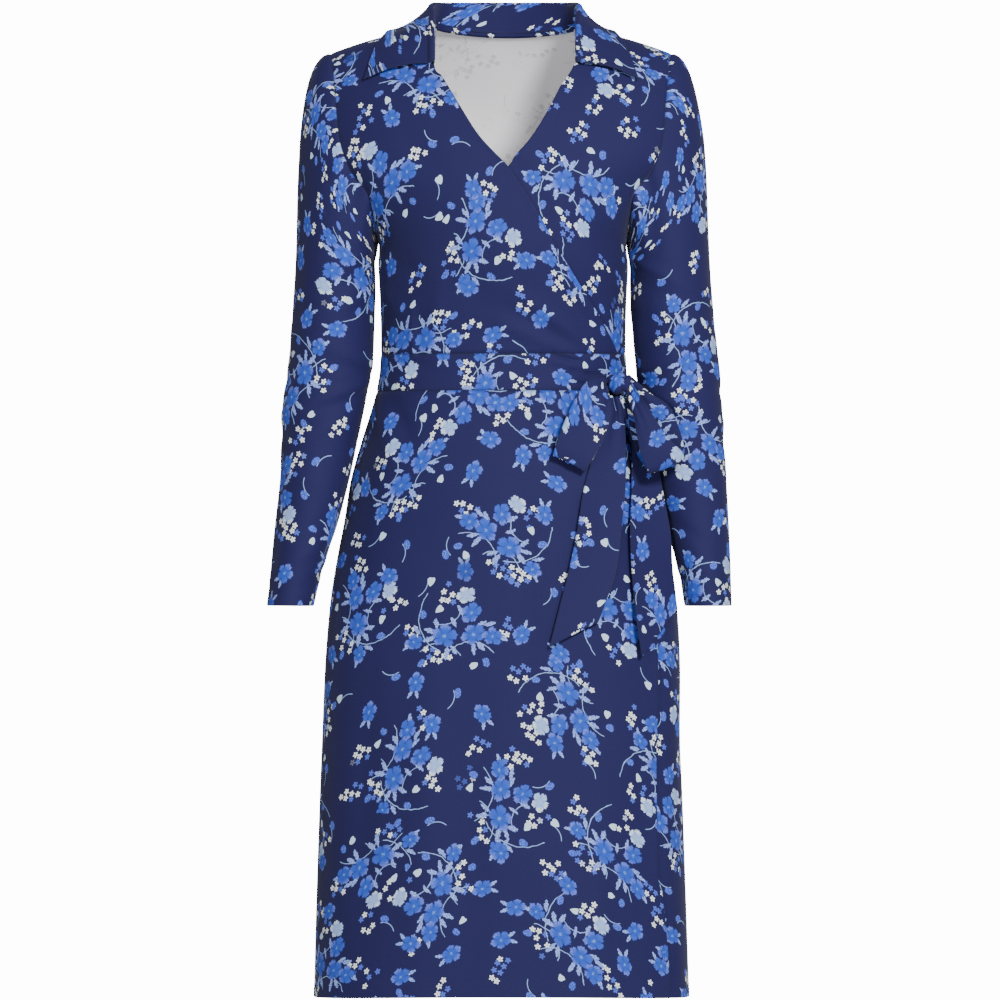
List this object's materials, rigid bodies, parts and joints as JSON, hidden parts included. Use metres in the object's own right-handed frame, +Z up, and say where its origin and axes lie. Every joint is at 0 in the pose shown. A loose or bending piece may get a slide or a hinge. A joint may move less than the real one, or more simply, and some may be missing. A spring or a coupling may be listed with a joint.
{
  "type": "wrap dress",
  "caption": "Long-sleeved knee-length jersey wrap dress in navy floral print, with a johnny collar, V neck, waist band and a side bow, in its worn form.",
  "frame": {"origin": "middle of the neck, level with the shoulder seams, where the wearer's shoulders hold the dress up", "axes": "+Z up, the front faces -Y, +X is the wearer's left"},
  "size_m": [0.4888, 0.2392, 1.0552],
  "materials": {
    "jersey": "matte"
  },
  "bodies": {
    "root": {"bodice_back": "jersey", "bodice_front_over": "jersey", "bodice_front_under": "jersey", "collar": "jersey", "neck_binding": "jersey", "sleeve_right": "jersey", "sleeve_left": "jersey", "waist_band": "jersey", "skirt_back": "jersey", "skirt_front_over": "jersey", "skirt_front_under": "jersey", "bow_knot": "jersey", "bow_loop_front": "jersey", "bow_loop_side": "jersey", "tie_tail_front": "jersey", "tie_tail_side": "jersey"}
  },
  "joints": []
}
